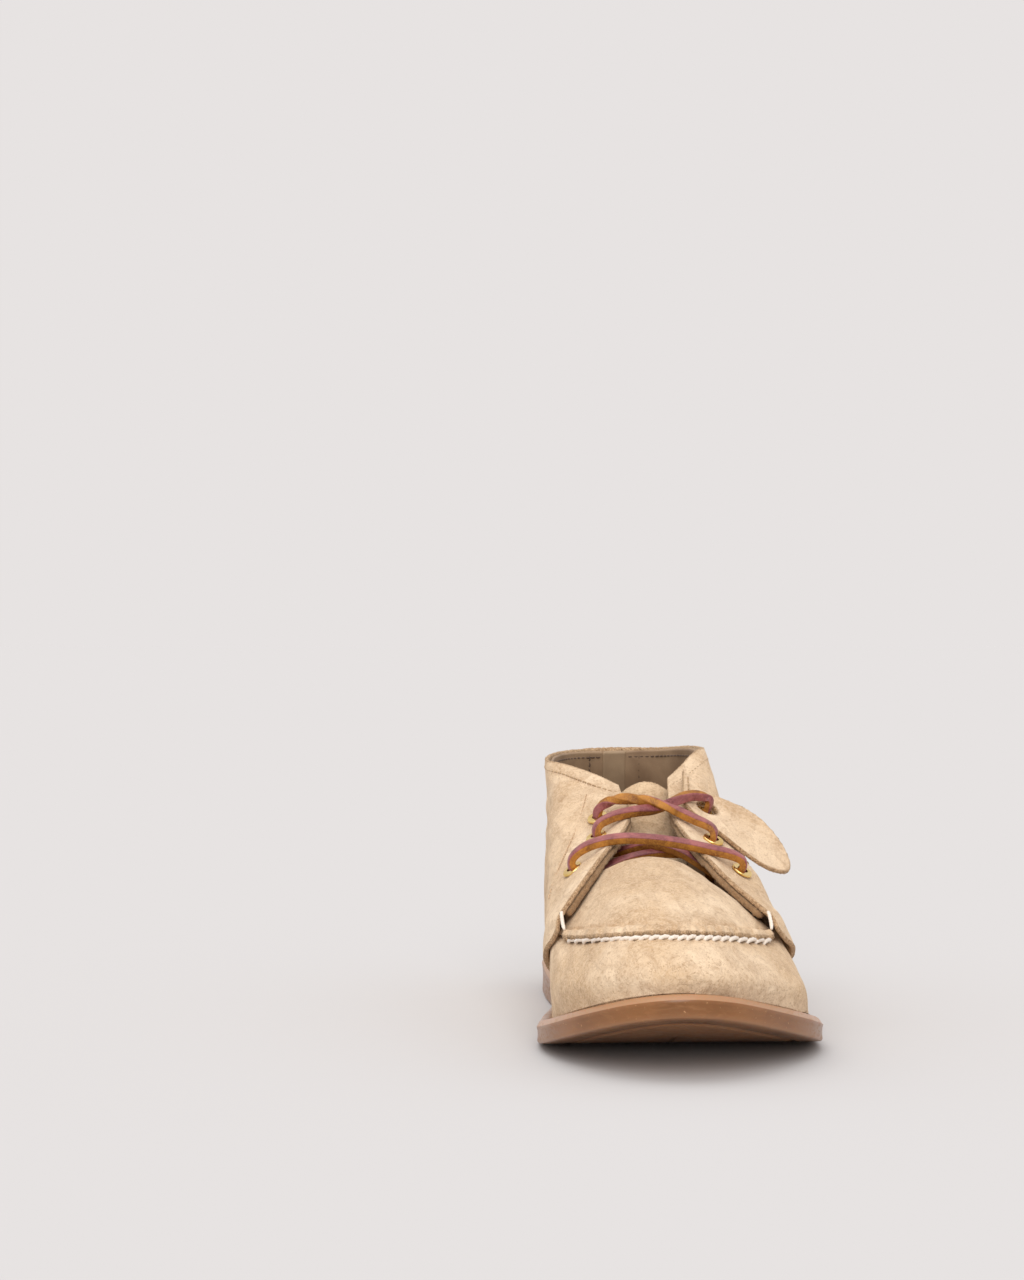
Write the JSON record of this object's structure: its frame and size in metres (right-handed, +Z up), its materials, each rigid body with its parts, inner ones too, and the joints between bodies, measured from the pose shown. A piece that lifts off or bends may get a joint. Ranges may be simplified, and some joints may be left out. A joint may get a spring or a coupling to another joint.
{
  "type": "suede chukka moccasin",
  "caption": "Ankle-high suede moccasin with a hand-stitched apron, gum rubber sole, leather lace through brass eyelets and a swinging hang tag; left shoe.",
  "frame": {"origin": "on the floor under the middle of the shoe's bounding box", "axes": "+Z up, toe towards -Y, heel towards +Y, outer (lateral) side of the left foot towards +X"},
  "size_m": [0.1108, 0.2985, 0.1098],
  "materials": {
    "gum_rubber": "semi-gloss",
    "suede": "napped",
    "lining_leather": "smooth matte",
    "flesh_suede": "rough",
    "board": "matte",
    "foam": "matte",
    "counter_board": "matte",
    "brass": "polished",
    "lace_leather": "waxed",
    "white_thread": "twisted",
    "tan_thread": "twisted"
  },
  "bodies": {
    "shoe": {"outsole": "gum_rubber", "insole_board": "board", "footbed_foam": "foam", "footbed_cover": "lining_leather", "vamp": "suede", "apron": "suede", "quarter_medial": "suede", "quarter_lateral": "suede", "facing_stay_medial": "flesh_suede", "facing_stay_lateral": "flesh_suede", "lining_medial": "lining_leather", "lining_lateral": "lining_leather", "heel_lining_strip": "lining_leather", "heel_counter": "counter_board", "backstay": "suede", "eyelets_medial": "brass", "eyelets_lateral": "brass", "lace": "lace_leather", "moc_seam_stitches": "white_thread", "tack_stitches": "white_thread", "topline_stitching_medial": "tan_thread", "topline_stitching_lateral": "tan_thread", "facing_stitching_medial": "tan_thread", "facing_stitching_lateral": "tan_thread", "backstay_stitching": "tan_thread"},
    "tongue": {"tongue": "suede"},
    "hang_tag": {"hang_tag": "suede"}
  },
  "joints": [
    {"name": "tongue_flex", "type": "hinge", "parent": "shoe", "child": "tongue", "pos_m": [-0.0085, -0.0575, 0.06], "axis": [-1, 0, 0], "range_deg": [0, 10]},
    {"name": "tag_swing", "type": "hinge", "parent": "shoe", "child": "hang_tag", "pos_m": [0.02029, 0.00576, 0.08714], "axis": [0.3594, -0.4293, 0.8286], "range_deg": [-3, 12]}
  ]
}
